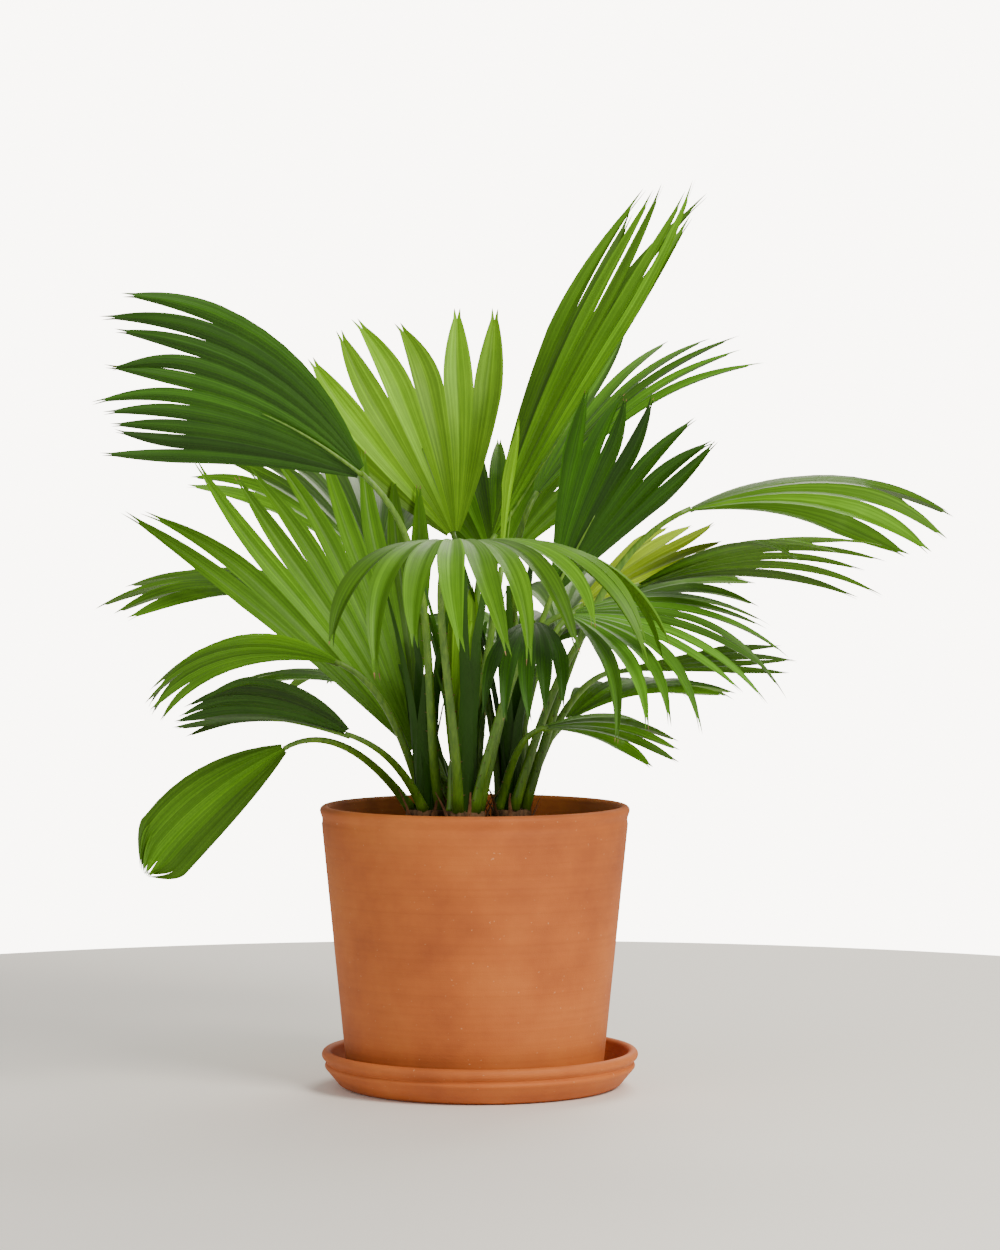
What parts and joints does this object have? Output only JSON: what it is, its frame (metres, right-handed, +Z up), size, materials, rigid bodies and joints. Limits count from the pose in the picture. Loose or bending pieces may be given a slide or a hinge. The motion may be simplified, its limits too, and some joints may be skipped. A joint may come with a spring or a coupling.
{
  "type": "potted chinese fan palm",
  "caption": "Young fan palm with arching petioles and pleated, split fan blades, growing from short fibrous stems in a tapered terracotta pot that stands in a matching saucer.",
  "frame": {"origin": "centre of the saucer's flat underside", "axes": "+Z up, -Y towards the viewer of the picture, +X to that viewer's right"},
  "size_m": [0.873, 0.7941, 0.9006],
  "materials": {
    "terracotta": "matt unglazed terracotta with fine turning rings",
    "soil": "crumbly dark potting soil",
    "fibre": "brown fibrous leaf bases",
    "petiole": "smooth green stalk with small spines",
    "leaf": "satin pleated leaf"
  },
  "bodies": {
    "root": {"saucer": "terracotta", "pot": "terracotta", "soil": "soil", "stem_1": "fibre", "stem_2": "fibre", "stem_3": "fibre", "stem_4": "fibre", "stem_5": "fibre", "petiole_upper_left": "petiole", "petiole_top_centre": "petiole", "petiole_tallest": "petiole", "petiole_back_right": "petiole", "petiole_right_dark": "petiole", "petiole_young_right": "petiole", "petiole_far_right": "petiole", "petiole_right_lit": "petiole", "petiole_right_gold": "petiole", "petiole_front_fan": "petiole", "petiole_right_front": "petiole", "petiole_right_low_back": "petiole", "petiole_left_big": "petiole", "petiole_left_back": "petiole", "petiole_left_low": "petiole", "petiole_left_lower": "petiole", "petiole_left_lowest": "petiole", "petiole_young_centre": "petiole", "petiole_centre_hanging": "petiole", "petiole_right_lowest": "petiole", "petiole_rear_left": "petiole", "petiole_rear_middle": "petiole", "petiole_rear_right": "petiole", "petiole_rear_high": "petiole", "petiole_rear_left_low": "petiole", "petiole_rear_right_low": "petiole", "blade_upper_left": "leaf", "blade_top_centre": "leaf", "blade_tallest": "leaf", "blade_back_right": "leaf", "blade_right_dark": "leaf", "blade_young_right": "leaf", "blade_far_right": "leaf", "blade_right_lit": "leaf", "blade_right_gold": "leaf", "blade_front_fan": "leaf", "blade_right_front": "leaf", "blade_right_low_back": "leaf", "blade_left_big": "leaf", "blade_left_back": "leaf", "blade_left_low": "leaf", "blade_left_lower": "leaf", "blade_left_lowest": "leaf", "blade_young_centre": "leaf", "blade_centre_hanging": "leaf", "blade_right_lowest": "leaf", "blade_rear_left": "leaf", "blade_rear_middle": "leaf", "blade_rear_right": "leaf", "blade_rear_high": "leaf", "blade_rear_left_low": "leaf", "blade_rear_right_low": "leaf"}
  },
  "joints": []
}
